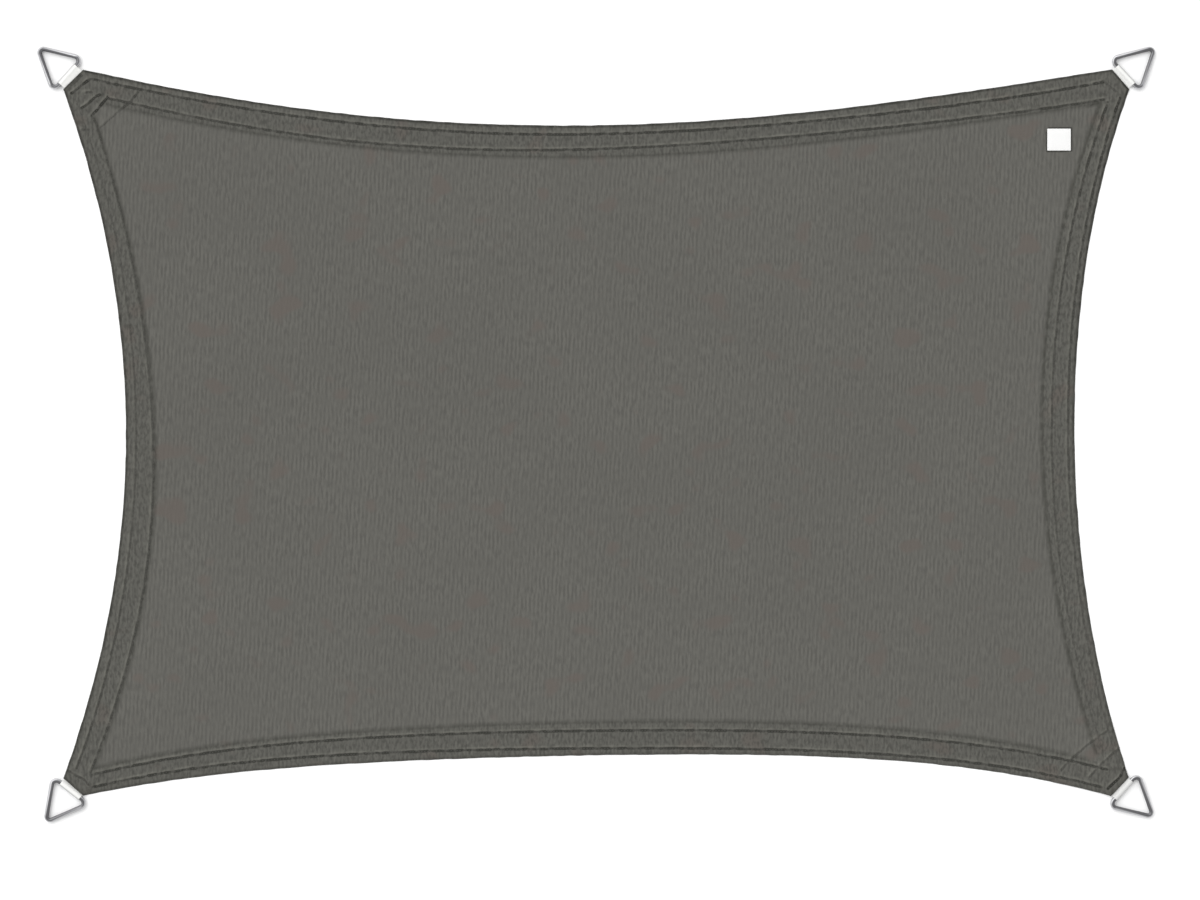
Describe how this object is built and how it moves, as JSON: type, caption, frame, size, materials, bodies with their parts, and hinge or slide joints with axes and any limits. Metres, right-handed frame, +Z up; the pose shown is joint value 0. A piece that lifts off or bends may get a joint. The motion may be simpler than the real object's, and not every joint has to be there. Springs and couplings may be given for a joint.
{
  "type": "shade sail",
  "caption": "Rectangular shade sail of knitted cloth with inward-curved edges, a wide stitched hem and a steel triangle ring on a webbing loop at each corner.",
  "frame": {"origin": "middle of the flat ground under the spread sail", "axes": "+X along the long edges to the right, +Y across to the top edge, +Z up out of the cloth's top side"},
  "size_m": [3.033, 2.1042, 0.0156],
  "materials": {
    "shade_cloth": "matt knitted plastic yarn with fine ribs, taupe grey",
    "webbing": "white woven webbing, matt",
    "ring_steel": "polished stainless steel wire",
    "label": "smooth white woven tape, bare"
  },
  "bodies": {
    "root": {"sail_cloth": "shade_cloth", "patch_top_left": "shade_cloth", "patch_bottom_right": "shade_cloth", "webbing_top_left": "webbing", "webbing_top_right": "webbing", "webbing_bottom_right": "webbing", "webbing_bottom_left": "webbing", "ring_top_left": "ring_steel", "ring_top_right": "ring_steel", "ring_bottom_right": "ring_steel", "ring_bottom_left": "ring_steel", "label": "label"}
  },
  "joints": []
}
